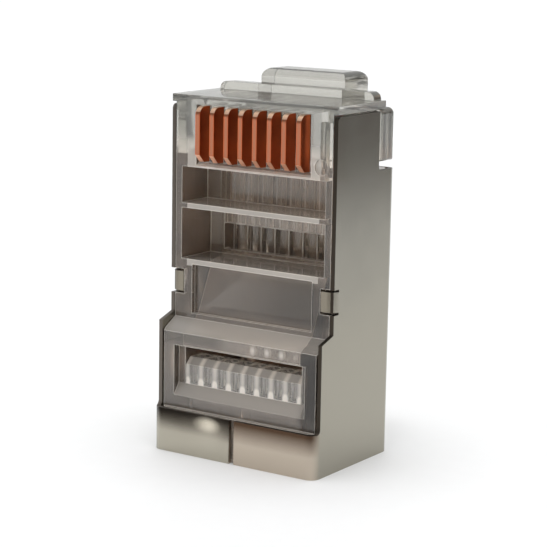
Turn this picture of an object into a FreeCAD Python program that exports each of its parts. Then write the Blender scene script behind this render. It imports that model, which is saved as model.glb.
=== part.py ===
import FreeCAD, Part
import os
import re
import Sketcher
from FreeCAD import Vector

# A shielded eight-way modular plug as it is supplied, before a cable is crimped into it.
# X runs across the row of contacts, -Y is the contact side, +Y is the latch side and Z runs
# along the plug, from the cable end at zero to the nose. The Z axis goes through the middle
# of the shield's section. All sizes are in millimetres.

SIZES = [
    # Folded shield.
    ("shield_width", 11.68),
    ("shield_depth", 8.4),
    ("shield_length", 20.9),
    ("sheet_thickness", 0.25),
    ("bend_radius", 0.6),
    ("collar_height", 2.65),
    ("collar_corner", 0.3),
    ("seam_gap", 0.35),
    ("notch_start", 17.4),
    ("notch_depth", 2.0),
    ("notch_corner", 0.3),
    ("panel_step_drop", 0.1),
    ("panel_step_rise", 0.3),
    ("panel_corner", 0.3),
    ("tab_start", 9.6),
    ("tab_height", 1.2),
    ("tab_reach", 0.91),
    ("tab_bend", 0.5),
    ("tab_relief", 0.15),
    ("shield_clearance", 0.05),
    # Housing: outline.
    ("body_length", 21.5),
    ("nose_depth", 6.6),
    ("middle_depth", 7.8),
    ("middle_end", 7.3),
    ("slope_length", 0.7),
    ("nose_lip", 0.45),
    ("ear_gap", 0.5),
    ("ear_relief", 1.1),
    ("ear_corner", 0.25),
    ("ear_top_corner", 0.35),
    ("nose_gap", 0.1),
    ("ridge_width", 11.0),
    ("ridge_depth", 0.8),
    ("ridge_height", 0.5),
    # Housing: cable cavity, rear window and wire ducts.
    ("cavity_width", 8.4),
    ("latch_side_wall", 0.65),
    ("cavity_depth", 6.7),
    ("cavity_corner", 0.7),
    ("mouth_chamfer", 0.3),
    ("sill_height", 3.4),
    ("seat_height", 4.1),
    ("chamber_length", 3.15),
    ("window_width", 9.4),
    ("window_end", 6.5),
    ("window_wall", 0.45),
    ("duct_start", 11.6),
    ("duct_end", 20.3),
    ("duct_radius", 0.47),
    ("duct_axis_depth", 2.6),
    ("duct_gallery", 0.5),
    # Housing: contact-side pockets.
    ("pocket_width", 10.2),
    ("front_pocket_start", 15.0),
    ("front_pocket_length", 2.2),
    ("front_pocket_floor", 4.0),
    ("partition_wall", 0.3),
    ("rear_pocket_length", 3.1),
    ("rear_pocket_floor", 3.6),
    ("gallery_window_start", 11.9),
    ("gallery_window_length", 1.6),
    ("panel_recess_width", 8.6),
    ("panel_recess_start", 8.3),
    ("panel_recess_length", 3.0),
    ("panel_recess_depth", 0.3),
    ("ejector_mark_radius", 0.45),
    ("ejector_mark_depth", 0.12),
    ("ejector_mark_place", 4.75),
    ("ejector_mark_height", 17.95),
    # Contacts.
    ("contact_count", 8),
    ("contact_pitch", 1.016),
    ("contact_thickness", 0.32),
    ("contact_length", 3.3),
    ("contact_height", 3.9),
    ("contact_rise", 0.6),
    ("contact_nose_radius", 0.5),
    ("contact_chamfer", 0.45),
    ("tine_length", 1.1),
    ("tine_width", 0.9),
    ("tine_spacing", 1.6),
    ("slot_clearance", 0.02),
    ("contact_end_gap", 0.15),
    ("slot_end_gap", 0.05),
    ("comb_drop", 0.4),
    ("comb_slope", 0.25),
    # Load bar.
    ("bar_thickness", 2.0),
    ("bar_length", 1.6),
    ("bar_clearance", 0.05),
    ("bar_hole_radius", 0.43),
    ("bar_chamfer", 0.4),
    # Latch.
    ("latch_width", 6.0),
    ("block_rise", 1.2),
    ("block_root", 1.4),
    ("block_length", 1.4),
    ("block_corner", 0.55),
    ("hinge_height", 19.5),
    ("hinge_rise", 0.9),
    ("hinge_radius", 0.3),
    ("hinge_clearance", 0.05),
    ("hinge_setback", 0.1),
    ("strip_thickness", 0.54),
    ("shoulder_height", 15.0),
    ("shoulder_low", 1.5),
    ("shoulder_high", 2.95),
    ("shoulder_land", 0.4),
    ("shoulder_corner", 0.3),
    ("arm_top_radius", 7.3),
    ("arm_under_radius", 16.0),
    ("tongue_width", 3.5),
    ("tongue_end", 6.2),
    ("tongue_end_rise", 4.7),
    ("tongue_end_thickness", 0.82),
    ("tongue_top_radius", 43.0),
    ("tongue_under_radius", 36.0),
    ("tongue_corner", 0.8),
]

doc = FreeCAD.newDocument("ModularPlug")
sheet = doc.addObject("Spreadsheet::Sheet", "Sizes")
for row, (name, size) in enumerate(SIZES, start=1):
    sheet.set("A%d" % row, name)
    sheet.set("B%d" % row, str(size))
    sheet.setAlias("B%d" % row, name)
doc.recompute()

# Places that several pieces share, written as expressions of the sizes.
BACK = "(shield_depth / 2)"
COLLAR_FACE = "(0 - shield_depth / 2)"
CONTACT_FACE = "(shield_depth / 2 - nose_depth)"
MIDDLE_FACE = "(shield_depth / 2 - middle_depth)"
INNER_BACK = "(shield_depth / 2 - sheet_thickness - shield_clearance)"
INNER_WIDTH = "(shield_width - 2 * sheet_thickness - 2 * shield_clearance)"
NOSE_UNDERSIDE = "(body_length - nose_lip)"
NOSE_BACK = "(shield_depth / 2 - block_root)"
EAR_FRONT = "(shield_depth / 2 - notch_depth + nose_gap)"
EAR_END = "(notch_start + ear_gap)"
DUCT_AXIS = "(shield_depth / 2 - duct_axis_depth)"
GALLERY_TOP = f"({DUCT_AXIS} - duct_gallery)"
DUCT_ROW = "(contact_count * contact_pitch)"
CAVITY_FRONT = "(shield_depth / 2 - cavity_depth)"
CAVITY_BACK = f"({INNER_BACK} - latch_side_wall)"
CHAMBER_FRONT = f"({MIDDLE_FACE} + window_wall)"
CHAMBER_END = "(seat_height + chamber_length)"
CONTACT_END = f"({NOSE_UNDERSIDE} - contact_end_gap)"
CONTACT_START = f"({CONTACT_END} - contact_length)"
SLOT_END = f"({CONTACT_END} + slot_end_gap)"
SLOT_START = f"({CONTACT_START} - slot_end_gap)"
TAB_INSIDE = f"({CONTACT_FACE} + tab_bend)"
HINGE_Y = "(shield_depth / 2 + hinge_rise)"
MARGIN = "1"
SAME_PLACE = 0.002


def bound(text):
    """The expression with the name of each size pointing at the sheet."""
    return re.sub(r"[a-z]\w*", lambda word: "Sizes." + word.group(0), text)


def value(text):
    """The number that an expression of the sizes comes to."""
    return float(sheet.evalExpression(text))


def new_body(label):
    body = doc.addObject("PartDesign::Body", label)
    body.Label = label
    return body


def new_sketch(body, name, role, offset=None):
    """A sketch on one of the body's own origin planes, or at a distance above it."""
    sketch = body.newObject("Sketcher::SketchObject", name)
    planes = [plane for plane in body.Origin.OriginFeatures if plane.Role == role]
    sketch.AttachmentSupport = [(planes[0], "")]
    sketch.MapMode = "FlatFace"
    if offset is not None:
        sketch.setExpression("AttachmentOffset.Base.z", bound(offset))
    return sketch


def pin(sketch, geometry, point, x, y):
    """Hold a point of the sketch at two expressions of the sizes."""
    for kind, text in (("DistanceX", x), ("DistanceY", y)):
        row = sketch.addConstraint(Sketcher.Constraint(kind, -1, 1, geometry, point, value(text)))
        sketch.setExpression(f"Constraints[{row}]", bound(text))


def arc_between(start, end, radius):
    """An arc, and whether it runs from start to end: a positive radius turns left."""
    middle = (start + end) / 2
    chord = end - start
    across = Vector(-chord.y, chord.x, 0).normalize()
    reach = (radius ** 2 - (chord.Length / 2) ** 2) ** 0.5
    centre = middle + across * (reach if radius > 0 else -reach)
    circle = Part.Circle(centre, Vector(0, 0, 1), abs(radius))
    first, last = (start, end) if radius > 0 else (end, start)
    arc = Part.ArcOfCircle(circle, circle.parameter(first), circle.parameter(last))
    return arc, radius > 0


def outline(sketch, points):
    """A closed outline through points, each (x, y) or, where an arc leaves it, (x, y, radius)."""
    places = [Vector(value(point[0]), value(point[1]), 0) for point in points]
    ends = []
    for index, point in enumerate(points):
        start = places[index]
        end = places[(index + 1) % len(places)]
        if len(point) == 2:
            row = sketch.addGeometry(Part.LineSegment(start, end), False)
            ends.append((row, 1, 2))
            continue
        arc, forward = arc_between(start, end, value(point[2]))
        row = sketch.addGeometry(arc, False)
        ends.append((row, 1, 2) if forward else (row, 2, 1))
        held = sketch.addConstraint(Sketcher.Constraint("Radius", row, abs(value(point[2]))))
        sketch.setExpression(f"Constraints[{held}]", bound(point[2].lstrip("-")))
    for index, (row, first, last) in enumerate(ends):
        following, next_first, next_last = ends[(index + 1) % len(ends)]
        sketch.addConstraint(Sketcher.Constraint("Coincident", row, last, following, next_first))
        pin(sketch, row, first, points[index][0], points[index][1])


def rectangle(sketch, left, low, right, high):
    outline(sketch, [(left, low), (right, low), (right, high), (left, high)])


def circle(sketch, x, y, radius):
    row = sketch.addGeometry(Part.Circle(Vector(value(x), value(y), 0), Vector(0, 0, 1), value(radius)))
    held = sketch.addConstraint(Sketcher.Constraint("Radius", row, value(radius)))
    sketch.setExpression(f"Constraints[{held}]", bound(radius))
    pin(sketch, row, 3, x, y)


def pad_across(body, name, points, width):
    """Material with a side outline in Y and Z, and a width shared equally about X = 0."""
    sketch = new_sketch(body, name + "_outline", "YZ_Plane")
    outline(sketch, points)
    pad = body.newObject("PartDesign::Pad", name)
    pad.Profile = sketch
    pad.SideType = "Symmetric"
    pad.setExpression("Length", bound(width))
    doc.recompute()
    return pad


def cut_across(body, name, points, width):
    """A cut with a side outline in Y and Z, and a width shared equally about X = 0."""
    sketch = new_sketch(body, name + "_outline", "YZ_Plane")
    outline(sketch, points)
    return pocket(body, name, sketch, width, symmetric=True)


def pocket(body, name, sketch, length, symmetric=False):
    before = body.Tip.Shape.Volume
    cut = body.newObject("PartDesign::Pocket", name)
    cut.Profile = sketch
    cut.SideType = "Symmetric" if symmetric else "One side"
    cut.setExpression("Length", bound(length))
    doc.recompute()
    if not cut.Shape.Volume < before:
        raise ValueError(f"{name} removes nothing from {body.Label}")
    return cut


def pad_up(body, name, sketch, length):
    pad = body.newObject("PartDesign::Pad", name)
    pad.Profile = sketch
    pad.setExpression("Length", bound(length))
    doc.recompute()
    return pad


def edges_at(shape, **place):
    """The names of the straight edges at the given places; a place in x counts on both sides."""
    names = []
    for number, edge in enumerate(shape.Edges, start=1):
        if edge.Degenerated or not isinstance(edge.Curve, Part.Line):
            continue
        gaps = []
        for point in [end.Point for end in edge.Vertexes] + [edge.CenterOfMass]:
            where = {"x": abs(point.x), "y": point.y, "z": point.z}
            gaps += [abs(where[axis] - wanted) for axis, wanted in place.items()]
        if max(gaps) < SAME_PLACE:
            names.append(f"Edge{number}")
    return names


def round_edges(body, name, names, radius):
    base = body.Tip
    fillet = body.newObject("PartDesign::Fillet", name)
    fillet.Base = (base, names)
    fillet.setExpression("Radius", bound(radius))
    doc.recompute()
    return fillet


def chamfer_edges(body, name, names, size):
    base = body.Tip
    chamfer = body.newObject("PartDesign::Chamfer", name)
    chamfer.Base = (base, names)
    chamfer.setExpression("Size", bound(size))
    doc.recompute()
    return chamfer


def corner_section(sketch, inset, radius):
    """The shield's section: a rectangle with round corners, drawn at an inset from its outside."""
    half_x = f"(shield_width / 2 - {inset})"
    half_y = f"(shield_depth / 2 - {inset})"
    flat_x = f"({half_x} - {radius})"
    flat_y = f"({half_y} - {radius})"
    outline(sketch, [
        (f"0 - {flat_x}", f"0 - {half_y}"),
        (flat_x, f"0 - {half_y}", radius),
        (half_x, f"0 - {flat_y}"),
        (half_x, flat_y, radius),
        (flat_x, half_y),
        (f"0 - {flat_x}", half_y, radius),
        (f"0 - {half_x}", flat_y),
        (f"0 - {half_x}", f"0 - {flat_y}", radius),
    ])


def build_shield():
    """One sheet folded round the housing, open at both ends, its two edges meeting in a seam."""
    body = new_body("shield")
    section = new_sketch(body, "folded_section", "XY_Plane")
    corner_section(section, "0", "bend_radius")
    corner_section(section, "sheet_thickness", "(bend_radius - sheet_thickness)")
    pad_up(body, "folded_sheet", section, "shield_length")
    # Only the collar closes the contact side: further up the sheet ends at its side panels,
    # which step back where the housing gets thinner.
    cut_across(body, "contact_side_cut", [
        (f"{COLLAR_FACE} - {MARGIN}", "collar_height"),
        (MIDDLE_FACE, "collar_height"),
        (MIDDLE_FACE, "(middle_end + slope_length - panel_step_drop)"),
        (CONTACT_FACE, "(middle_end + slope_length + panel_step_rise)"),
        (CONTACT_FACE, f"shield_length + {MARGIN}"),
        (f"{COLLAR_FACE} - {MARGIN}", f"shield_length + {MARGIN}"),
    ], f"shield_width + {MARGIN}")
    round_edges(body, "collar_corners", edges_at(
        body.Tip.Shape, y=value(MIDDLE_FACE), z=value("collar_height")), "collar_corner")
    round_edges(body, "panel_corners", edges_at(
        body.Tip.Shape, y=value(CONTACT_FACE), z=value("shield_length")), "panel_corner")
    # The latch side stops short of the nose and leaves a notch in each side panel.
    cut_across(body, "latch_side_cut", [
        (f"{BACK} - notch_depth", "notch_start"),
        (f"{BACK} + {MARGIN}", "notch_start"),
        (f"{BACK} + {MARGIN}", f"shield_length + {MARGIN}"),
        (f"{BACK} - notch_depth", f"shield_length + {MARGIN}"),
    ], f"shield_width + {MARGIN}")
    inner_corners = edges_at(body.Tip.Shape, y=value(f"{BACK} - notch_depth"), z=value("notch_start"))
    round_edges(body, "notch_corners", inner_corners, "notch_corner")
    seam = new_sketch(body, "seam_outline", "XY_Plane")
    rectangle(seam, "0 - seam_gap / 2", f"{COLLAR_FACE} - {MARGIN}", "seam_gap / 2", MIDDLE_FACE)
    pocket(body, "seam", seam, f"2 * (collar_height + {MARGIN})", symmetric=True)
    # Two small tabs fold in over the contact side and hold the housing in the shield.
    cut_across(body, "tab_bend_reliefs", [
        (f"{CONTACT_FACE} - {MARGIN}", "tab_start - tab_relief"),
        (TAB_INSIDE, "tab_start - tab_relief"),
        (TAB_INSIDE, "tab_start + tab_height + tab_relief"),
        (f"{CONTACT_FACE} - {MARGIN}", "tab_start + tab_height + tab_relief"),
    ], f"shield_width + {MARGIN}")
    tabs = new_sketch(body, "tab_sections", "XY_Plane", "tab_start")
    side = "shield_width / 2"
    inner_radius = "(tab_bend - sheet_thickness)"
    outline(tabs, [
        (side, TAB_INSIDE, "-tab_bend"),
        (f"({side} - tab_bend)", CONTACT_FACE),
        (f"({side} - tab_reach)", CONTACT_FACE),
        (f"({side} - tab_reach)", f"({CONTACT_FACE} + sheet_thickness)"),
        (f"({side} - tab_bend)", f"({CONTACT_FACE} + sheet_thickness)", inner_radius),
        (f"({side} - sheet_thickness)", TAB_INSIDE),
    ])
    outline(tabs, [
        (f"(0 - {side})", TAB_INSIDE, "tab_bend"),
        (f"(0 - {side} + tab_bend)", CONTACT_FACE),
        (f"(0 - {side} + tab_reach)", CONTACT_FACE),
        (f"(0 - {side} + tab_reach)", f"({CONTACT_FACE} + sheet_thickness)"),
        (f"(0 - {side} + tab_bend)", f"({CONTACT_FACE} + sheet_thickness)", "-" + inner_radius),
        (f"(0 - {side} + sheet_thickness)", TAB_INSIDE),
    ])
    pad_up(body, "tabs", tabs, "tab_height")
    return body


def wire_places():
    """The X places of the contacts, which the wire ducts and the load bar's holes share."""
    count = int(value("contact_count"))
    return [f"(contact_pitch * {index - (count - 1) / 2})" for index in range(count)]


def build_housing():
    """The clear moulding: a slim core in the shield, a full-width nose and the latch's root."""
    body = new_body("housing")
    pad_across(body, "core", [
        (f"(0 - {INNER_BACK})", "0"),
        (INNER_BACK, "0"),
        (INNER_BACK, NOSE_UNDERSIDE),
        (CONTACT_FACE, NOSE_UNDERSIDE),
        (CONTACT_FACE, "(middle_end + slope_length)"),
        (MIDDLE_FACE, "middle_end"),
        (MIDDLE_FACE, "collar_height"),
        (f"(0 - {INNER_BACK})", "collar_height"),
    ], INNER_WIDTH)
    side = value(INNER_WIDTH) / 2
    long_edges = edges_at(body.Tip.Shape, x=side, y=value(INNER_BACK))
    long_edges += edges_at(body.Tip.Shape, x=side, y=-value(INNER_BACK))
    round_edges(body, "core_corners", long_edges, "bend_radius")
    # An ear fills most of each notch in the shield. Under it the core's corner is cut away, so
    # that the rest of the notch is open right through.
    pad_across(body, "ears", [
        (EAR_FRONT, EAR_END),
        (INNER_BACK, EAR_END),
        (INNER_BACK, NOSE_UNDERSIDE),
        (EAR_FRONT, NOSE_UNDERSIDE),
    ], "shield_width")
    reliefs = new_sketch(body, "ear_relief_ends", "XY_Plane", EAR_END)
    for sign in ("", "0 - "):
        rectangle(reliefs,
                  f"{sign}(shield_width / 2 - ear_relief)", EAR_FRONT,
                  f"{sign}(shield_width / 2 + {MARGIN})", f"{BACK} + {MARGIN}")
    pocket(body, "ear_reliefs", reliefs, "ear_gap")
    side = value("shield_width / 2")
    ear_edges = edges_at(body.Tip.Shape, x=side, z=value(EAR_END))
    ear_edges += edges_at(body.Tip.Shape, x=side, y=value(INNER_BACK))
    round_edges(body, "ear_corners", ear_edges, "ear_corner")
    round_edges(body, "ear_tops", edges_at(
        body.Tip.Shape, y=value(INNER_BACK), z=value(NOSE_UNDERSIDE)), "ear_top_corner")
    # The nose covers the shield's edge with a lip, and a low ridge runs along its back.
    pad_across(body, "nose", [
        (CONTACT_FACE, NOSE_UNDERSIDE),
        (NOSE_BACK, NOSE_UNDERSIDE),
        (NOSE_BACK, "body_length"),
        (CONTACT_FACE, "body_length"),
    ], "shield_width")
    pad_across(body, "nose_ridge", [
        (f"{NOSE_BACK} - ridge_depth", NOSE_UNDERSIDE),
        (NOSE_BACK, NOSE_UNDERSIDE),
        (NOSE_BACK, "body_length + ridge_height"),
        (f"{NOSE_BACK} - ridge_depth", "body_length + ridge_height"),
    ], "ridge_width")
    round_edges(body, "ridge_ends", edges_at(
        body.Tip.Shape, x=value("ridge_width / 2"), z=value("body_length + ridge_height")),
        "ridge_height - 0.05")
    # The latch's root stands behind the nose and holds the living hinge at its cable end.
    pad_across(body, "latch_root", [
        (NOSE_BACK, NOSE_UNDERSIDE),
        (NOSE_BACK, "body_length + block_length"),
        (f"{BACK} + block_rise", "body_length + block_length"),
        (f"{BACK} + block_rise", "hinge_height + hinge_setback"),
        (f"{BACK} - sheet_thickness", "hinge_height + hinge_setback"),
        (f"{BACK} - sheet_thickness", NOSE_UNDERSIDE),
    ], "latch_width")
    round_edges(body, "latch_root_corners", edges_at(
        body.Tip.Shape, z=value("body_length + block_length")), "block_corner")
    socket = new_sketch(body, "hinge_socket_outline", "YZ_Plane")
    circle(socket, HINGE_Y, "hinge_height", "hinge_radius + hinge_clearance")
    pocket(body, "hinge_socket", socket, f"latch_width + {MARGIN}", symmetric=True)
    # The cable cavity narrows to the gallery over the eight wire ducts. Its contact side steps
    # out into the chamber where the load bar waits behind the rear window.
    cut_across(body, "cable_cavity", [
        (CAVITY_FRONT, f"0 - {MARGIN}"),
        (CAVITY_BACK, f"0 - {MARGIN}"),
        (CAVITY_BACK, "middle_end + slope_length"),
        (f"{DUCT_AXIS} + duct_radius", "duct_start"),
        (GALLERY_TOP, "duct_start"),
        (CAVITY_FRONT, CHAMBER_END),
        (CHAMBER_FRONT, CHAMBER_END),
        (CHAMBER_FRONT, "seat_height"),
        (CAVITY_FRONT, "seat_height"),
    ], "cavity_width")
    cavity_side = value("cavity_width / 2")
    cavity_faces = (value(CAVITY_FRONT), value(CAVITY_BACK))
    round_edges(body, "cavity_corners", [
        name for face in cavity_faces for name in edges_at(body.Tip.Shape, x=cavity_side, y=face)],
        "cavity_corner")
    mouth = edges_at(body.Tip.Shape, x=cavity_side, z=0)
    for face in cavity_faces:
        mouth += edges_at(body.Tip.Shape, y=face, z=0)
    chamfer_edges(body, "mouth_lead_in", mouth, "mouth_chamfer")
    cut_across(body, "rear_window", [
        (f"{COLLAR_FACE} - {MARGIN}", "sill_height"),
        (MIDDLE_FACE, "sill_height"),
        (f"{CHAMBER_FRONT} + bar_clearance", "seat_height"),
        (f"{CHAMBER_FRONT} + bar_clearance", "window_end"),
        (f"{COLLAR_FACE} - {MARGIN}", "window_end"),
    ], "window_width")
    # Pockets in the contact side, open to the wire ducts in the middle.
    cut_across(body, "front_pocket", [
        (f"{CONTACT_FACE} - {MARGIN}", "front_pocket_start"),
        (f"{BACK} - front_pocket_floor", "front_pocket_start"),
        (f"{BACK} - front_pocket_floor", "front_pocket_start + front_pocket_length"),
        (f"{CONTACT_FACE} - {MARGIN}", "front_pocket_start + front_pocket_length"),
    ], "pocket_width")
    rear_pocket_end = "(front_pocket_start - partition_wall)"
    cut_across(body, "rear_pocket", [
        (f"{CONTACT_FACE} - {MARGIN}", f"{rear_pocket_end} - rear_pocket_length"),
        (f"{BACK} - rear_pocket_floor", f"{rear_pocket_end} - rear_pocket_length"),
        (f"{BACK} - rear_pocket_floor", rear_pocket_end),
        (f"{CONTACT_FACE} - {MARGIN}", rear_pocket_end),
    ], "pocket_width")
    cut_across(body, "gallery_window", [
        (f"{BACK} - rear_pocket_floor - {MARGIN}", "gallery_window_start"),
        (DUCT_AXIS, "gallery_window_start"),
        (DUCT_AXIS, "gallery_window_start + gallery_window_length"),
        (f"{BACK} - rear_pocket_floor - {MARGIN}", "gallery_window_start + gallery_window_length"),
    ], DUCT_ROW)
    cut_across(body, "panel_recess", [
        (f"{CONTACT_FACE} - {MARGIN}", "panel_recess_start"),
        (f"{CONTACT_FACE} + panel_recess_depth", "panel_recess_start"),
        (f"{CONTACT_FACE} + panel_recess_depth", "panel_recess_start + panel_recess_length"),
        (f"{CONTACT_FACE} - {MARGIN}", "panel_recess_start + panel_recess_length"),
    ], "panel_recess_width")
    # The ducts lie side by side like a scalloped floor under one shallow gallery.
    cut_across(body, "duct_gallery_cut", [
        (GALLERY_TOP, f"duct_start - {MARGIN} / 2"),
        (DUCT_AXIS, f"duct_start - {MARGIN} / 2"),
        (DUCT_AXIS, "duct_end"),
        (GALLERY_TOP, "duct_end"),
    ], DUCT_ROW)
    ducts = new_sketch(body, "duct_ends", "XY_Plane", "duct_end")
    for place in wire_places():
        circle(ducts, place, DUCT_AXIS, "duct_radius")
    pocket(body, "wire_ducts", ducts, "duct_end - duct_start")
    # The fins between the contact slots stand a little below the face, with a slope at their
    # cable end, so that the blades stand free of them.
    cut_across(body, "comb_recess", [
        (f"{CONTACT_FACE} - {MARGIN}", f"{SLOT_START} - comb_slope"),
        (CONTACT_FACE, f"{SLOT_START} - comb_slope"),
        (f"{CONTACT_FACE} + comb_drop", SLOT_START),
        (f"{CONTACT_FACE} + comb_drop", SLOT_END),
        (f"{CONTACT_FACE} - {MARGIN}", SLOT_END),
    ], DUCT_ROW)
    slots = new_sketch(body, "slot_ends", "XY_Plane", SLOT_END)
    for place in wire_places():
        rectangle(slots,
                  f"{place} - contact_thickness / 2 - slot_clearance", f"{CONTACT_FACE} - {MARGIN}",
                  f"{place} + contact_thickness / 2 + slot_clearance", DUCT_AXIS)
    pocket(body, "contact_slots", slots, f"{SLOT_END} - {SLOT_START}")
    mark = new_sketch(body, "ejector_mark_outline", "XZ_Plane", f"0 - {CONTACT_FACE}")
    circle(mark, "ejector_mark_place", "ejector_mark_height", "ejector_mark_radius")
    pocket(body, "ejector_mark", mark, "ejector_mark_depth")
    seats = new_sketch(body, "tab_seat_ends", "XY_Plane", "tab_start + tab_height + tab_relief")
    for sign in ("", "0 - "):
        rectangle(seats,
                  f"{sign}(shield_width / 2 - tab_reach - shield_clearance)", f"{CONTACT_FACE} - {MARGIN}",
                  f"{sign}(shield_width / 2 + {MARGIN})", f"{TAB_INSIDE} + shield_clearance")
    pocket(body, "tab_seats", seats, "tab_height + 2 * tab_relief")
    return body


def build_contact(number, place):
    """One blade: a round nose and a chamfer on its crest, and two tines that pierce the wire."""
    body = new_body(f"contact_{number}")
    crest = f"({CONTACT_FACE} - contact_rise)"
    root = f"({crest} + contact_height - tine_length)"
    tip = f"({crest} + contact_height)"
    middle = f"({CONTACT_END} - contact_length / 2)"
    upper = f"({middle} + tine_spacing / 2)"
    lower = f"({middle} - tine_spacing / 2)"
    sketch = new_sketch(body, "blade_outline", "YZ_Plane", place)
    outline(sketch, [
        (crest, f"({CONTACT_START} + contact_chamfer)"),
        (f"({crest} + contact_chamfer)", CONTACT_START),
        (root, CONTACT_START),
        (root, f"({lower} - tine_width / 2)"),
        (tip, lower),
        (root, f"({lower} + tine_width / 2)"),
        (root, f"({upper} - tine_width / 2)"),
        (tip, upper),
        (root, f"({upper} + tine_width / 2)"),
        (root, CONTACT_END),
        (f"({crest} + contact_nose_radius)", CONTACT_END, "contact_nose_radius"),
        (crest, f"({CONTACT_END} - contact_nose_radius)"),
    ])
    blade = body.newObject("PartDesign::Pad", "blade")
    blade.Profile = sketch
    blade.SideType = "Symmetric"
    blade.setExpression("Length", bound("contact_thickness"))
    return body


def build_load_bar():
    """The loose comb that keeps the eight wires in order on their way to the ducts."""
    body = new_body("load_bar")
    front = f"({CHAMBER_FRONT} + bar_clearance)"
    back = f"({front} + bar_thickness)"
    pad_across(body, "bar", [
        (front, "seat_height"),
        (back, "seat_height"),
        (back, "(seat_height + bar_length - bar_chamfer)"),
        (f"({back} - bar_chamfer)", "(seat_height + bar_length)"),
        (f"({front} + bar_chamfer)", "(seat_height + bar_length)"),
        (front, "(seat_height + bar_length - bar_chamfer)"),
    ], "(cavity_width - 2 * bar_clearance)")
    holes = new_sketch(body, "hole_ends", "XY_Plane", f"seat_height + bar_length + {MARGIN}")
    for place in wire_places():
        circle(holes, place, f"({front} + bar_thickness / 2)", "bar_hole_radius")
    pocket(body, "wire_holes", holes, f"bar_length + 2 * {MARGIN}")
    return body


def round_plan(body, name, half_width, end, radius):
    """Round the two corners of the lever that show from straight behind the plug."""
    depth = f"2 * ({BACK} + tongue_end_rise + tongue_end_thickness + {MARGIN})"
    sketch = new_sketch(body, name + "_outline", "XZ_Plane")
    outline(sketch, [
        (f"{half_width} - {radius}", end, radius),
        (half_width, f"{end} + {radius}"),
        (f"{half_width} + {MARGIN}", f"{end} + {radius}"),
        (f"{half_width} + {MARGIN}", f"{end} - {MARGIN} / 4"),
        (f"{half_width} - {radius}", f"{end} - {MARGIN} / 4"),
    ])
    outline(sketch, [
        (f"{radius} - {half_width}", end, "-" + radius),
        (f"0 - {half_width}", f"{end} + {radius}"),
        (f"0 - {half_width} - {MARGIN}", f"{end} + {radius}"),
        (f"0 - {half_width} - {MARGIN}", f"{end} - {MARGIN} / 4"),
        (f"{radius} - {half_width}", f"{end} - {MARGIN} / 4"),
    ])
    pocket(body, name, sketch, depth, symmetric=True)


def build_latch_lever():
    """The springy lever: a thin strip that thickens to the locking shoulder, then a tongue."""
    body = new_body("latch_lever")
    hinge_low = f"({HINGE_Y} - strip_thickness / 2)"
    hinge_high = f"({HINGE_Y} + strip_thickness / 2)"
    knuckle = new_sketch(body, "knuckle_outline", "YZ_Plane")
    circle(knuckle, HINGE_Y, "hinge_height", "hinge_radius")
    pad = body.newObject("PartDesign::Pad", "knuckle")
    pad.Profile = knuckle
    pad.SideType = "Symmetric"
    pad.setExpression("Length", bound("latch_width"))
    pad_across(body, "arm", [
        (hinge_low, "hinge_height"),
        (hinge_high, "hinge_height", "arm_top_radius"),
        (f"({BACK} + shoulder_high)", "(shoulder_height + shoulder_land)"),
        (f"({BACK} + shoulder_high)", "shoulder_height"),
        (f"({BACK} + shoulder_low)", "shoulder_height", "-arm_under_radius"),
    ], "latch_width")
    overlap = "(shoulder_height + shoulder_land / 2)"
    pad_across(body, "tongue", [
        (f"({BACK} + shoulder_low)", overlap),
        (f"({BACK} + shoulder_high)", overlap, "tongue_top_radius"),
        (f"({BACK} + tongue_end_rise + tongue_end_thickness)", "tongue_end", "-0.6 * tongue_end_thickness"),
        (f"({BACK} + tongue_end_rise)", "(tongue_end + tongue_end_thickness / 4)", "-tongue_under_radius"),
    ], "tongue_width")
    round_plan(body, "tongue_end_corners", "tongue_width / 2", "tongue_end", "tongue_corner")
    round_plan(body, "shoulder_corners", "latch_width / 2", "shoulder_height", "shoulder_corner")
    return body


bodies = [build_shield(), build_housing(), build_load_bar(), build_latch_lever()]
for number, place in enumerate(wire_places(), start=1):
    bodies.append(build_contact(number, place))
doc.recompute()

for item in doc.Objects:
    if "Invalid" in item.State or "Error" in item.State:
        raise ValueError(f"{item.Name} failed: {item.State}")
for body in bodies:
    if body.Shape.isNull() or not body.Shape.isValid():
        raise ValueError(f"{body.Label} is not a valid shape")
    if len(body.Shape.Solids) != 1:
        raise ValueError(f"{body.Label} is {len(body.Shape.Solids)} solids")

os.makedirs("parts", exist_ok=True)
for body in bodies:
    body.Shape.exportStep(f"parts/{body.Label}.step")
    print(body.Label, round(body.Shape.Volume, 3), "mm3", len(body.Shape.Faces), "faces")
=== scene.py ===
# %% [markdown]
# # A shielded modular plug, dressed for the camera
#
# The plug is a clear polycarbonate moulding in a folded, nickel-plated shield. It holds eight
# plated contact blades and a loose comb for the wires, and a springy latch stands off its back.
# Its solids arrive as a fixed frame from the construction model, already at their real size, in
# metres. This lesson gives each surface its finish, lights the plug like a small product on a
# table, and sets up the camera. Loading the frame comes first, because every place is read from it.

# %% Load the frame
import math

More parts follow.
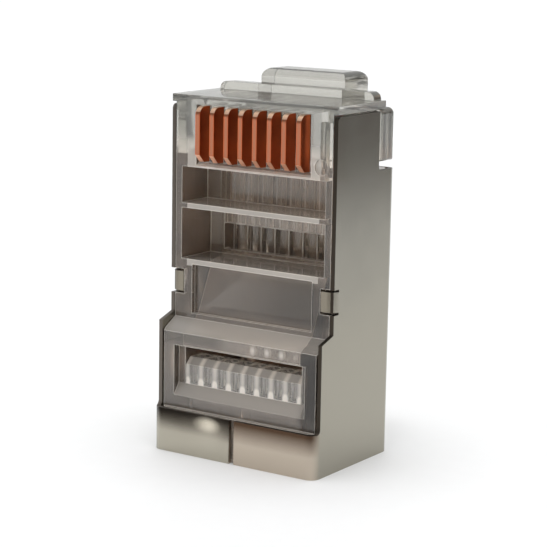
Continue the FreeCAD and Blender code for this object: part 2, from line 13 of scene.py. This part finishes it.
import bpy
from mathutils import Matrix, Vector


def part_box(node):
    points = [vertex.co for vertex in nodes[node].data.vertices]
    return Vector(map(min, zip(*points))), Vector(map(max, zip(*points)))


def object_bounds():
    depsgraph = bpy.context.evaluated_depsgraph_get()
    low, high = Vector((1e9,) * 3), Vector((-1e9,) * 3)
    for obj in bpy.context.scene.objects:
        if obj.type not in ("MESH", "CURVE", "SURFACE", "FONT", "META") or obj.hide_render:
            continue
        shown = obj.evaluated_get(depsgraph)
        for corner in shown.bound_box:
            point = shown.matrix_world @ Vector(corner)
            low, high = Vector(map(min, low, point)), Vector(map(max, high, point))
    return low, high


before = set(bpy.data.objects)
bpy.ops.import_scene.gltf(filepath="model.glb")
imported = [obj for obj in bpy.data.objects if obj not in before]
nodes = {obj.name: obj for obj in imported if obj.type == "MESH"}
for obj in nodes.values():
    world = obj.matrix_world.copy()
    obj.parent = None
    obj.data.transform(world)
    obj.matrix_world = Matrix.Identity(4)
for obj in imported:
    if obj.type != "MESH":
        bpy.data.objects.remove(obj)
cad_low, cad_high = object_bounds()
MM = 0.001
print("pieces:", sorted(nodes))
print("overall size in mm:", [round(side / MM, 2) for side in cad_high - cad_low])

# %% [markdown]
# ## A notation for shader maths
#
# A material is a small calculation that runs for each point of a surface. Built node by node in
# Python it is hard to read, so a socket is wrapped in a class that overloads the operators: then
# `1 - grain * 0.2` adds the Math nodes by itself. One method adds any other node: it takes the
# node's type, its settings, which are set first, and the values or wires of its sockets.

# %% A socket that can be calculated with
class Wire:
    def __init__(self, recipe, socket):
        self.recipe = recipe
        self.socket = socket

    def maths(self, operation, first, second):
        return self.recipe.node("ShaderNodeMath", {"operation": operation}, {0: first, 1: second})

    def __add__(self, other):
        return self.maths("ADD", self, other)

    def __radd__(self, other):
        return self.maths("ADD", other, self)

    def __sub__(self, other):
        return self.maths("SUBTRACT", self, other)

    def __rsub__(self, other):
        return self.maths("SUBTRACT", other, self)

    def __mul__(self, other):
        return self.maths("MULTIPLY", self, other)

    def __rmul__(self, other):
        return self.maths("MULTIPLY", other, self)


class Recipe:
    """One material, or the room, and the nodes that make it."""

    def __init__(self, name, room=False):
        owner = bpy.data.worlds if room else bpy.data.materials
        self.material = owner.new(name)
        self.material.use_nodes = True
        self.tree = self.material.node_tree
        self.shader = self.tree.nodes["Background" if room else "Principled BSDF"]
        self.place = self.node("ShaderNodeTexCoord", output="Generated" if room else "Object")

    def node(self, kind, settings=None, inputs=None, output=0):
        node = self.tree.nodes.new(kind)
        for name, value in (settings or {}).items():
            setattr(node, name, value)
        for name, value in (inputs or {}).items():
            self.feed(node.inputs[name], value)
        return Wire(self, node.outputs[output])

    def part(self, vector, axis):
        """One coordinate of a vector."""
        return self.node("ShaderNodeSeparateXYZ", None, {"Vector": vector}, axis)

    def millimetres(self):
        """The three coordinates of the point, in millimetres."""
        return [self.part(self.place, axis) * (1 / MM) for axis in "XYZ"]

    def facing(self, axis, sign, limit=0.7):
        """One where the surface faces along an axis, towards its plus or minus side."""
        along = self.part(self.node("ShaderNodeTexCoord", output="Normal"), axis)
        return self.above(along * sign, limit)

    def above(self, value, limit):
        """One where the value is above the limit, and zero elsewhere."""
        return self.node("ShaderNodeMath", {"operation": "GREATER_THAN"}, {0: value, 1: limit})

    def edges(self, radius):
        """One along every sharp edge, falling to zero at the radius away from it.

        The normal of a rounded edge turns away from the true one. One minus their dot product
        is 0 on a flat face and 0.29 on a square edge, and 0.03 to 0.20 of it becomes 0 to 1.
        """
        rounded = self.node("ShaderNodeBevel", {"samples": 6}, {"Radius": radius})
        flat = self.node("ShaderNodeNewGeometry", output="True Normal")
        same = self.node("ShaderNodeVectorMath", {"operation": "DOT_PRODUCT"}, {
            0: rounded, 1: flat}, "Value")
        return self.levels(1 - same, 0.03, 0.20)

    def mix(self, factor, colour, roughness):
        """Lay a plain glossy colour over the material wherever the factor says."""
        over = self.tree.nodes.new("ShaderNodeBsdfPrincipled")
        self.feed(over.inputs["Base Color"], colour)
        over.inputs["Roughness"].default_value = roughness
        both = self.tree.nodes.new("ShaderNodeMixShader")
        self.feed(both.inputs[0], factor)
        self.tree.links.new(self.shader.outputs[0], both.inputs[1])
        self.tree.links.new(over.outputs[0], both.inputs[2])
        self.tree.links.new(both.outputs[0], self.tree.nodes["Material Output"].inputs["Surface"])

    def function(self, operation, value):
        return self.node("ShaderNodeMath", {"operation": operation}, {0: value})

    def size(self, value):
        """The value without its sign."""
        return self.function("ABSOLUTE", value)

    def feed(self, socket, value):
        if isinstance(value, Wire):
            self.tree.links.new(value.socket, socket)
        else:
            socket.default_value = value

    def finish(self, **sockets):
        for name, value in sockets.items():
            self.feed(self.shader.inputs[name.replace("_", " ")], value)
        return self.material

    def stretched(self, x, y, z):
        """The surface's own coordinates, scaled along each axis."""
        return self.node("ShaderNodeMapping", None, {"Vector": self.place, "Scale": (x, y, z)})

    def noise(self, where, scale, detail=3.0, roughness=0.5):
        return self.node("ShaderNodeTexNoise", None, {
            "Vector": where, "Scale": scale, "Detail": detail, "Roughness": roughness}, "Fac")

    def between(self, factor, low, high):
        """A colour part of the way from one to the other; each may be a wire."""
        low, high = [end if isinstance(end, Wire) else (*end, 1.0) for end in (low, high)]
        return self.node("ShaderNodeMix", {"data_type": "RGBA"}, {
            "Factor": factor, "A": low, "B": high}, "Result")

    def levels(self, value, low, high):
        """The value's range from low to high, stretched to run from 0 to 1."""
        return self.node("ShaderNodeMapRange", None, {
            "Value": value, "From Min": low, "From Max": high}, "Result")

    def eased(self, value, low, high):
        """The same, with a smooth start and end."""
        return self.node("ShaderNodeMapRange", {"interpolation_type": "SMOOTHSTEP"}, {
            "Value": value, "From Min": low, "From Max": high}, "Result")

    def near(self, value, middle, inner, outer):
        """One within the inner distance of the middle, falling to zero at the outer one."""
        return self.levels(self.size(value - middle), outer, inner)

    def bump(self, height, distance):
        return self.node("ShaderNodeBump", None, {"Height": height, "Distance": distance}, "Normal")


print("shader notation ready")

# %% [markdown]
# ## Clear polycarbonate
#
# The housing, the latch and the comb are moulded in clear polycarbonate. It bends light more
# than glass does, so a refractive index of 1.585 is set on the shader. The mould leaves its
# faces a little uneven, in slow waves where the plastic flowed. They go into a bump, and the
# roughness varies with the same flow. A little of the light scatters inside, so the
# transmission stays under 1. The body has a warm tint, and painted shade gives the nose a
# darker, greyer one.
#
# Moulded edges are slightly round, and catch the light. The Bevel node gives the normal that a
# rounded edge would have: where it differs from the true one, there is an edge, and a painted
# highlight, a pale colour laid over the plastic, marks it; at the nose the laid colour is dark,
# a painted shade. Upward faces and the front rims get a weaker painted highlight of it. It is
# laid-on colour and not light bent by the edge, so it stays clean where that is grainy.
#
# Heights are in millimetres above the cable end. The nose starts near 18, two pockets lie
# between 11.6 and 17.2, a shallow panel is below them, and the comb's window is at the foot.

# %% The plastic
PLASTIC_INDEX = 1.585
EDGE_RADIUS = 0.09 * MM
FLOW_SCALE = 420
NOSE_SHADE_TINT = (0.62, 0.61, 0.56)
LIT_EDGE = (0.98, 0.92, 0.84)
SHADED_EDGE = (0.27, 0.27, 0.25)
NOSE_START, NOSE_FULL = 17.8, 19.2
FRONT_WALL = -2.2
FOOT_TOP, FOOT_HALF_WIDTH = 8.0, 4.4
SHELVES_START, SHELF_HALF_WIDTH = 11.2, 4.7


def painted_rim_light(plastic, across, out, along):
    """How much painted highlight lies on the front rims of the foot and the shelves, and on the
    upward faces.
    """
    rims = plastic.facing("Y", -1, 0.5) * plastic.above(FRONT_WALL, out)
    foot = plastic.above(FOOT_TOP, along) * plastic.above(FOOT_HALF_WIDTH, across)
    shelves = plastic.above(along, SHELVES_START)
    shelves = shelves * plastic.above(SHELF_HALF_WIDTH, plastic.size(across))
    return rims * (0.10 * foot + 0.42 * shelves) + 0.16 * plastic.facing("Z", 1, 0.3)


print("painted rim light ready")

# %% [markdown]
# The core behind the front wall is dark, and three places look straight into it: the panel under
# the pockets, the strip at the right of the window, and the strip over its left half. The real
# plug shows them darker than a traced one does, so painted shade deepens the tint of the plastic
# there. The latch shares the recipe but lies outside the shield's back, and keeps its own tint.

# %% Painted shade where the front looks into the core
HOLLOW_SHADE_TINT = (0.28, 0.24, 0.20)
PANEL_MIDDLE = 9.9
WINDOW_MIDDLE = 5.2
LINTEL_MIDDLE = 7.0
SHIELD_BACK = 4.4


def painted_hollow_shade(plastic, across, out, along):
    """How much painted shade darkens the housing's front where it looks into the dark core behind
    it.
    """
    panel = plastic.near(along, PANEL_MIDDLE, 1.0, 1.6) * plastic.levels(across, -5.0, 2.0)
    flank = plastic.near(along, WINDOW_MIDDLE, 1.6, 2.4) * plastic.levels(across, 4.1, 4.6)
    lintel = plastic.near(along, LINTEL_MIDDLE, 0.2, 0.5) * plastic.levels(across, -0.8, -1.8)
    return plastic.above(SHIELD_BACK, out) * (panel + flank + 0.8 * lintel)


print("darker places at", PANEL_MIDDLE, WINDOW_MIDDLE, "and", LINTEL_MIDDLE, "mm up")

# %% The plastic's recipe
def clear_plastic(name, tint, clarity, flow_height, edge_strength, glints=None):
    """One clear plastic: its clarity is the share of the light that passes through."""
    plastic = Recipe(name)
    across, out, along = plastic.millimetres()
    flow = plastic.noise(plastic.stretched(1, 1, 0.35), FLOW_SCALE, 2.0)
    # Painted shade: from the nose start up, the tint turns darker and greyer.
    nose = plastic.levels(along, NOSE_START, NOSE_FULL)
    # Painted shade: the tint deepens where the front looks into the dark core.
    hollow = painted_hollow_shade(plastic, across, out, along)
    light = edge_strength * plastic.edges(EDGE_RADIUS) + painted_rim_light(plastic, across, out, along)
    if glints:
        light = light + glints(plastic, across, out, along)
    # Painted highlight: a pale colour laid over the edges, the front rims and the upward faces; at
    # the nose the laid colour is dark, a painted shade.
    plastic.mix(light, plastic.between(nose, LIT_EDGE, SHADED_EDGE), 0.2)
    return plastic.finish(
        Base_Color=plastic.between(nose, plastic.between(hollow, tint, HOLLOW_SHADE_TINT), NOSE_SHADE_TINT),
        Roughness=0.03 + 0.05 * flow,
        Normal=plastic.bump(flow, flow_height),
        IOR=PLASTIC_INDEX, Transmission_Weight=clarity)


print("plastic recipe ready")

# %% [markdown]
# ## Painted light between the wire holes
#
# The ducts in the housing and the holes in the comb stand at the pitch of the wires. Light
# gathers in the webs between them, and a cosine of X finds those webs: it is 1 in the middle of
# each web, and -1 on the centre line of each hole. A renderer finds such gathered light slowly
# and with much grain, so the streaks and spots are painted light: a pale colour laid over the
# plastic. The back of the lower pocket and the whole comb get a faint layer of it too.

# %% Painted glints at the wire pitch
WIRE_PITCH = 1.016
COMB_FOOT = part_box("load_bar")[0][2] / MM
POCKETS_MIDDLE, POCKETS_HALF_HEIGHT = 15.0, 2.9
LOWER_POCKET_TOP = 14.5
SPOT_ROW = 6.95
SPOTS_MIDDLE = 2.1


def webs(plastic, across, low, high):
    """One in the webs between the wire holes, falling to zero towards the holes."""
    wave = plastic.function("COSINE", across * (2 * math.pi / WIRE_PITCH))
    return plastic.levels(wave, low, high)


def painted_duct_light(plastic, across, out, along):
    """Painted light: thin lines between the ducts, a faint layer on the lower pocket's back, and
    spots over the right half of the window.
    """
    backs = plastic.facing("Y", -1) * plastic.above(out, FRONT_WALL)
    backs = backs * plastic.above(POCKETS_HALF_HEIGHT, plastic.size(along - POCKETS_MIDDLE))
    lower_back = backs * plastic.above(LOWER_POCKET_TOP, along)
    lines = backs * webs(plastic, across, 0.88, 1.0)
    spots = plastic.near(along, SPOT_ROW, 0.05, 0.38) * plastic.near(across, SPOTS_MIDDLE, 1.6, 2.1)
    spots = spots * webs(plastic, across, 0.1, 1.0)
    return 0.12 * lower_back + 0.24 * lines + 0.4 * spots


def painted_comb_light(plastic, across, out, along):
    """Painted light: a faint layer over the comb, streaks between its holes, and a bright spot at
    the foot of each.
    """
    streaks = webs(plastic, across, 0.2, 1.0)
    foot = plastic.levels(along - COMB_FOOT, 0.5, 0.2)
    spots = foot * webs(plastic, across, -0.1, 0.8)
    return 0.04 + 0.46 * streaks + 0.8 * spots


print("the comb's foot is", round(COMB_FOOT, 2), "mm above the cable end")

# %% Three clear plastics
housing_plastic = clear_plastic(
    "clear polycarbonate", tint=(0.87, 0.77, 0.68), clarity=0.90,
    flow_height=0.008 * MM, edge_strength=0.8, glints=painted_duct_light)
latch_plastic = clear_plastic(
    "clear polycarbonate latch", tint=(0.84, 0.87, 0.84), clarity=0.94,
    flow_height=0.010 * MM, edge_strength=0.8)
comb_plastic = clear_plastic(
    "clear comb plastic", tint=(0.98, 0.96, 0.93), clarity=0.90,
    flow_height=0.004 * MM, edge_strength=1.2, glints=painted_comb_light)
print("plastics:", housing_plastic.name, latch_plastic.name, comb_plastic.name)

# %% [markdown]
# ## Bright nickel on folded sheet
#
# The shield is stamped and folded from thin strip, and plated with nickel, a warm grey. Rolling
# leaves a fine grain along the strip, and handling leaves faint cloudy patches where the plate
# is duller. Painted shade deepens the tone towards the nose, painted light makes the inside
# lighter and warmer, and painted shade darkens the folded tabs. The blanking die cut the plated
# strip through, so its edges are bare, and painted shade makes them darker still, less on the
# left than on the right: the ends of the sheet face along Z, and the front edges of the side
# panels face -Y.
#
# The folded sheet isn't quite flat, so a bump bows it. The bow is strongest on the collar at the
# cable end. The low lamp makes one round highlight on the collar's left half, inside a band of
# painted shade under the window, which stands for the dark room that the bowed sheet reflects.
# The right half is painted warmer, a painted reflection, with a brown band of painted shade. The
# bands and the tones are colour, and the bow is bump: the sheet itself stays flat.

# %% Masks on the shield
ROLLING_GRAIN = 9000
COLLAR_TOP = 2.7
INSIDE_HALF_WIDTH = 5.62
PANEL_EDGE = 5.55
BACK_INSIDE = 3.98
FRONT_INSIDE = -2.1
TABS_START = 5.0


def cut_edges(plate, across, along):
    """One on the bare edges of the sheet."""
    normal = plate.node("ShaderNodeTexCoord", output="Normal")
    ends = plate.above(plate.size(plate.part(normal, "Z")), 0.7)
    sides = plate.above(along, COLLAR_TOP) * plate.above(plate.size(across), PANEL_EDGE)
    return ends + plate.facing("Y", -1) * sides


def inner_faces(plate, across, out):
    """One inside the folded tube, and zero outside it."""
    walls = plate.above(INSIDE_HALF_WIDTH, plate.size(across))
    return walls * plate.above(BACK_INSIDE, out) * plate.above(out, FRONT_INSIDE)


print("shield masks ready")

# %% The collar
# Each half of the collar is painted its own tone, a painted reflection: the right one warmer. The
# two dark colours below are painted shade, a band under the window with a gap for the lamp's
# highlight.
COLLAR_LEFT_REFLECTION = (0.45, 0.42, 0.35)
COLLAR_RIGHT_REFLECTION = (0.52, 0.45, 0.37)
SHADE_BAND_LEFT = (0.055, 0.048, 0.04)
SHADE_BAND_RIGHT = (0.09, 0.055, 0.035)
SEAM_LEFT = -0.18
SPOT_ACROSS, SPOT_HEIGHT = -1.8, 2.1


def collar_face(plate, out):
    """One on the front face of the collar."""
    return plate.levels(out, -3.6, -4.1)


def bowed_sheet(plate, across, out, along):
    """The height, in millimetres, by which the sheet bows: most on the collar's left half."""
    beside = across - SPOT_ACROSS
    dish = plate.above(SEAM_LEFT, across) * (along * along + beside * beside)
    bow = collar_face(plate, out) * (0.05 - 0.02 * along * along - 0.028 * dish)
    return bow - 0.0040 * along * along


def with_collar(plate, faces, across, out, along):
    """The faces' colour, with the collar's two painted tones and the bands of painted shade round
    the highlight.
    """
    collar = collar_face(plate, out)
    left = plate.above(SEAM_LEFT, across)
    beside = across - SPOT_ACROSS
    over = along - SPOT_HEIGHT
    from_spot = beside * beside + 4.0 * over * over
    # Painted shade: a dark band across the upper collar, open round the highlight.
    shade_band = collar * plate.levels(along, 1.3, 2.5) * plate.levels(from_spot, 0.1, 1.2)
    faces = plate.between(collar, faces, plate.between(left, COLLAR_RIGHT_REFLECTION, COLLAR_LEFT_REFLECTION))
    return plate.between(shade_band, faces, plate.between(left, SHADE_BAND_RIGHT, SHADE_BAND_LEFT))


print("the dark band opens for the highlight", SPOT_HEIGHT, "mm above the cable end")

# %% The plated shield
BRIGHT_NICKEL = (0.36, 0.34, 0.285)
NOSE_NICKEL_PAINTED_SHADE = (0.27, 0.27, 0.25)
INSIDE_NICKEL_PAINTED_LIGHT = (0.56, 0.47, 0.40)
TAB_NICKEL_PAINTED_SHADE = (0.25, 0.225, 0.18)
BARE_SHADE_LEFT = (0.17, 0.15, 0.13)
BARE_SHADE_RIGHT = (0.06, 0.05, 0.04)


def nickel_plate():
    plate = Recipe("nickel plate")
    across, out, along = plate.millimetres()
    grain = plate.noise(plate.stretched(1, 1, 0.06), ROLLING_GRAIN, 3.0)
    clouds = plate.levels(plate.noise(plate.place, 240, 4.0, 0.6), 0.35, 0.7)
    # Painted shade: the nickel darkens towards the nose, along a wavy edge from the handling
    # patches.
    painted_nose_shade = plate.levels(along + 2.0 * clouds, 8.0, 24.0)
    faces = plate.between(painted_nose_shade, BRIGHT_NICKEL, NOSE_NICKEL_PAINTED_SHADE)
    # Painted light: the inside walls are lighter and warmer than the outside.
    faces = plate.between(inner_faces(plate, across, out), faces, INSIDE_NICKEL_PAINTED_LIGHT)
    faces = with_collar(plate, faces, across, out, along)
    # Painted shade on the shield's forward faces above the collar, the folded tabs.
    tabs = plate.facing("Y", -1) * plate.above(along, TABS_START)
    faces = plate.between(tabs, faces, TAB_NICKEL_PAINTED_SHADE)
    cut = cut_edges(plate, across, along)
    # The cut edges are bare metal, and painted shade darkens them further, less on the left than on
    # the right.
    bare_shade = plate.between(plate.above(0.0, across), BARE_SHADE_RIGHT, BARE_SHADE_LEFT)
    height = bowed_sheet(plate, across, out, along) + 0.0003 * grain
    return plate.finish(
        Base_Color=plate.between(cut, faces, bare_shade),
        Metallic=1.0,
        Roughness=0.2 + 0.06 * clouds + 0.015 * grain + 0.2 * cut,
        Normal=plate.bump(height, MM))


shield_finish = nickel_plate()
print("shield finish:", shield_finish.name)

# %% [markdown]
# ## Plated contact blades
#
# The contacts are blanked from phosphor bronze and flashed with gold, which reads as a deep
# orange brown on the flat sides between the clear walls. The narrow crests, which touch the
# jack's wires, are a duller, paler brown, with the deep orange along their edges. The chamfers
# at the top and the foot of each blade get a painted highlight.

# %% The contacts
ROLLED_BRONZE = (0.62, 0.12, 0.03)
STAINED_BRONZE = (0.54, 0.10, 0.025)
CREST_PLATE = (0.42, 0.17, 0.10)
TOP_HIGHLIGHT_PAINT = (0.90, 0.58, 0.40)
FOOT_HIGHLIGHT_PAINT = (0.95, 0.50, 0.33)
CREST_EDGE = 0.20 * MM


def contact_plate():
    plate = Recipe("plated bronze")
    grain = plate.noise(plate.stretched(0.2, 1, 0.2), ROLLING_GRAIN, 2.0)
    stain = plate.levels(plate.noise(plate.place, 900, 3.0), 0.4, 0.7)
    normal = plate.node("ShaderNodeTexCoord", output="Normal")
    flat = plate.above(plate.size(plate.part(normal, "X")), 0.7)
    rolled = plate.between(stain, ROLLED_BRONZE, STAINED_BRONZE)
    narrow = plate.between(plate.edges(CREST_EDGE), CREST_PLATE, rolled)
    # Painted highlights on the chamfers at the foot and the top of each blade.
    narrow = plate.between(plate.facing("Z", -1, 0.4), narrow, FOOT_HIGHLIGHT_PAINT)
    narrow = plate.between(plate.facing("Z", 1, 0.4), narrow, TOP_HIGHLIGHT_PAINT)
    return plate.finish(
        Base_Color=plate.between(flat, narrow, rolled),
        Metallic=1.0,
        Roughness=0.27 + 0.03 * grain,
        Normal=plate.bump(grain, 0.0001 * MM))


contact_finish = contact_plate()
print("contact finish:", contact_finish.name)

# %% [markdown]
# ## Dress the solids
#
# The construction model's pieces keep their shapes: only the material in their slots changes.

# %% Give each piece its finish
def dress(name, material):
    piece = nodes[name]
    piece.data.materials.clear()
    piece.data.materials.append(material)


dress("housing", housing_plastic)
dress("latch_lever", latch_plastic)
dress("load_bar", comb_plastic)
dress("shield", shield_finish)
for name in nodes:
    if name.startswith("contact_"):
        dress(name, contact_finish)
print("dressed", len(nodes), "pieces")

# %% [markdown]
# ## A table to stand on
#
# A pale, seamless table runs far past the plug, so that it fills the picture.

# %% The table
TABLE_WIDTH = 3.0
PALE, PALER = (0.86, 0.86, 0.86), (0.88, 0.88, 0.88)


def pale_paper():
    paper = Recipe("pale table")
    fibre = paper.noise(paper.place, 900, 4.0)
    return paper.finish(Base_Color=paper.between(fibre, PALE, PALER), Roughness=0.6)


bpy.ops.mesh.primitive_plane_add(size=TABLE_WIDTH, location=(0, 0, cad_low.z))
table = bpy.context.object
table.name = "floor"
table.data.materials.append(pale_paper())
print("the table is", TABLE_WIDTH, "m wide")

# %% [markdown]
# ## Light
#
# A wide light straight overhead, soft as a cloudy sky, keeps the table evenly pale. One small
# low lamp in front at the left makes the highlight on the collar. The room is darker at the
# horizon than overhead, with one pale wall behind at the left, which the side of the shield
# picks up.

# %% Lamps
def add_lamp(name, kind, energy):
    data = bpy.data.lights.new(name, kind)
    data.energy = energy
    lamp = bpy.data.objects.new(name, data)
    bpy.context.scene.collection.objects.link(lamp)
    return lamp


def aim(thing, place, target):
    """Put a lamp or a camera at its place, looking at the target."""
    thing.location = place
    thing.rotation_euler = (target - place).to_track_quat("-Z", "Y").to_euler()


overhead = add_lamp("overhead light", "SUN", 2.3)
overhead.data.angle = math.radians(50)
low_lamp = add_lamp("low lamp", "AREA", 0.014)
low_lamp.data.size = 40 * MM
aim(low_lamp, Vector((-165, -252, 30)) * MM, (cad_low + cad_high) / 2)
print("lamps:", overhead.name, "and", low_lamp.name)

# %% The room
PALE_WALL = (-0.60, 0.79, 0.10)
WALL_COLOUR = (0.85, 0.85, 0.84)
HORIZON_COLOUR = (0.22, 0.195, 0.175)
CEILING_COLOUR = (0.52, 0.53, 0.54)


def pale_room():
    """The room's colour by direction, palest towards the wall."""
    room = Recipe("pale room", room=True)
    towards = room.node("ShaderNodeVectorMath", {"operation": "DOT_PRODUCT"}, {
        0: room.place, 1: PALE_WALL}, "Value")
    horizon = room.between(room.eased(towards, 0.35, 0.85), HORIZON_COLOUR, WALL_COLOUR)
    upwards = room.eased(room.part(room.place, "Z"), 0.15, 0.6)
    return room.finish(Color=room.between(upwards, horizon, CEILING_COLOUR), Strength=1.0)


bpy.context.scene.world = pale_room()
bpy.context.scene.view_settings.view_transform = "Standard"
print("room ready")

# %% [markdown]
# ## Camera
#
# The camera stands in front and to the right, a little above the plug, and a long lens fills
# the frame with it.

# %% Camera
CAMERA_PLACE = Vector((62.6, -93.4, 32.4)) * MM
CAMERA_TARGET = Vector((0.0, 0.0, 10.9)) * MM
CAMERA_ROLL = 1.0
LONG_LENS = 125.5
NEAREST = 5 * MM

camera_data = bpy.data.cameras.new("camera")
camera_data.lens = LONG_LENS
camera_data.clip_start = NEAREST
camera = bpy.data.objects.new("camera", camera_data)
aim(camera, CAMERA_PLACE, CAMERA_TARGET)
camera.rotation_euler.rotate_axis("Z", math.radians(CAMERA_ROLL))
bpy.context.scene.collection.objects.link(camera)
bpy.context.scene.camera = camera
print("camera is", round((CAMERA_TARGET - CAMERA_PLACE).length / MM), "mm away")
